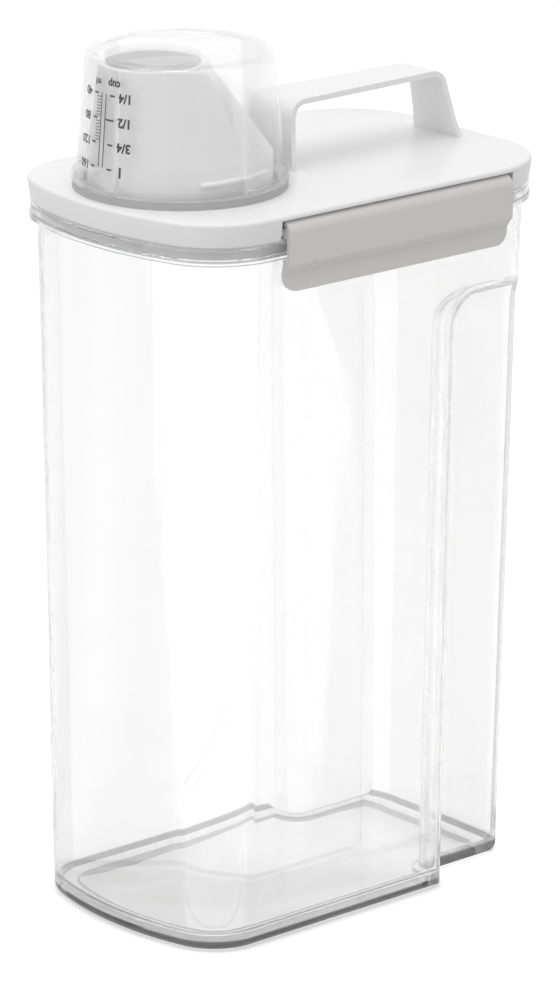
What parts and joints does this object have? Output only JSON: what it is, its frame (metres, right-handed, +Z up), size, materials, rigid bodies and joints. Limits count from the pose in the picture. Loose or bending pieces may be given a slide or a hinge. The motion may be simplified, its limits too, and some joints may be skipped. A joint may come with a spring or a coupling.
{
  "type": "laundry detergent dispenser",
  "caption": "Clear upright detergent container with side grips, a white latched lid with a strap handle and pouring spout, and a clear measuring cup over the spout.",
  "frame": {"origin": "centre of the bounding box on the plane that the base stands on", "axes": "+Z up, -X towards the spout and the bowed front, +X towards the rear where the grip recesses are"},
  "size_m": [0.192, 0.1292, 0.3481],
  "materials": {
    "clear_body": "clear polished plastic",
    "clear_cup": "clear polished plastic",
    "white_lid": "white satin plastic",
    "latch_white": "off-white satin plastic",
    "gasket": "grey silicone"
  },
  "bodies": {
    "container": {"container": "clear_body"},
    "lid": {"lid": "white_lid", "lid_gasket": "gasket", "cup_seal": "gasket"},
    "cup": {"measuring_cup": "clear_cup"},
    "left_latch": {"left_latch": "latch_white"},
    "right_latch": {"right_latch": "latch_white"}
  },
  "joints": [
    {"name": "lid_lift", "type": "slide", "parent": "container", "child": "lid", "axis": [0, 0, 1], "range_m": [0, 0.12]},
    {"name": "cup_lift", "type": "slide", "parent": "lid", "child": "cup", "axis": [0, 0, 1], "range_m": [0, 0.06]},
    {"name": "left_latch_swing", "type": "hinge", "parent": "lid", "child": "left_latch", "pos_m": [0.0063, -0.05965, 0.2869], "axis": [-1, 0, 0], "range_deg": [0, 90]},
    {"name": "right_latch_swing", "type": "hinge", "parent": "lid", "child": "right_latch", "pos_m": [0.0063, 0.05965, 0.2869], "axis": [1, 0, 0], "range_deg": [0, 90]}
  ]
}
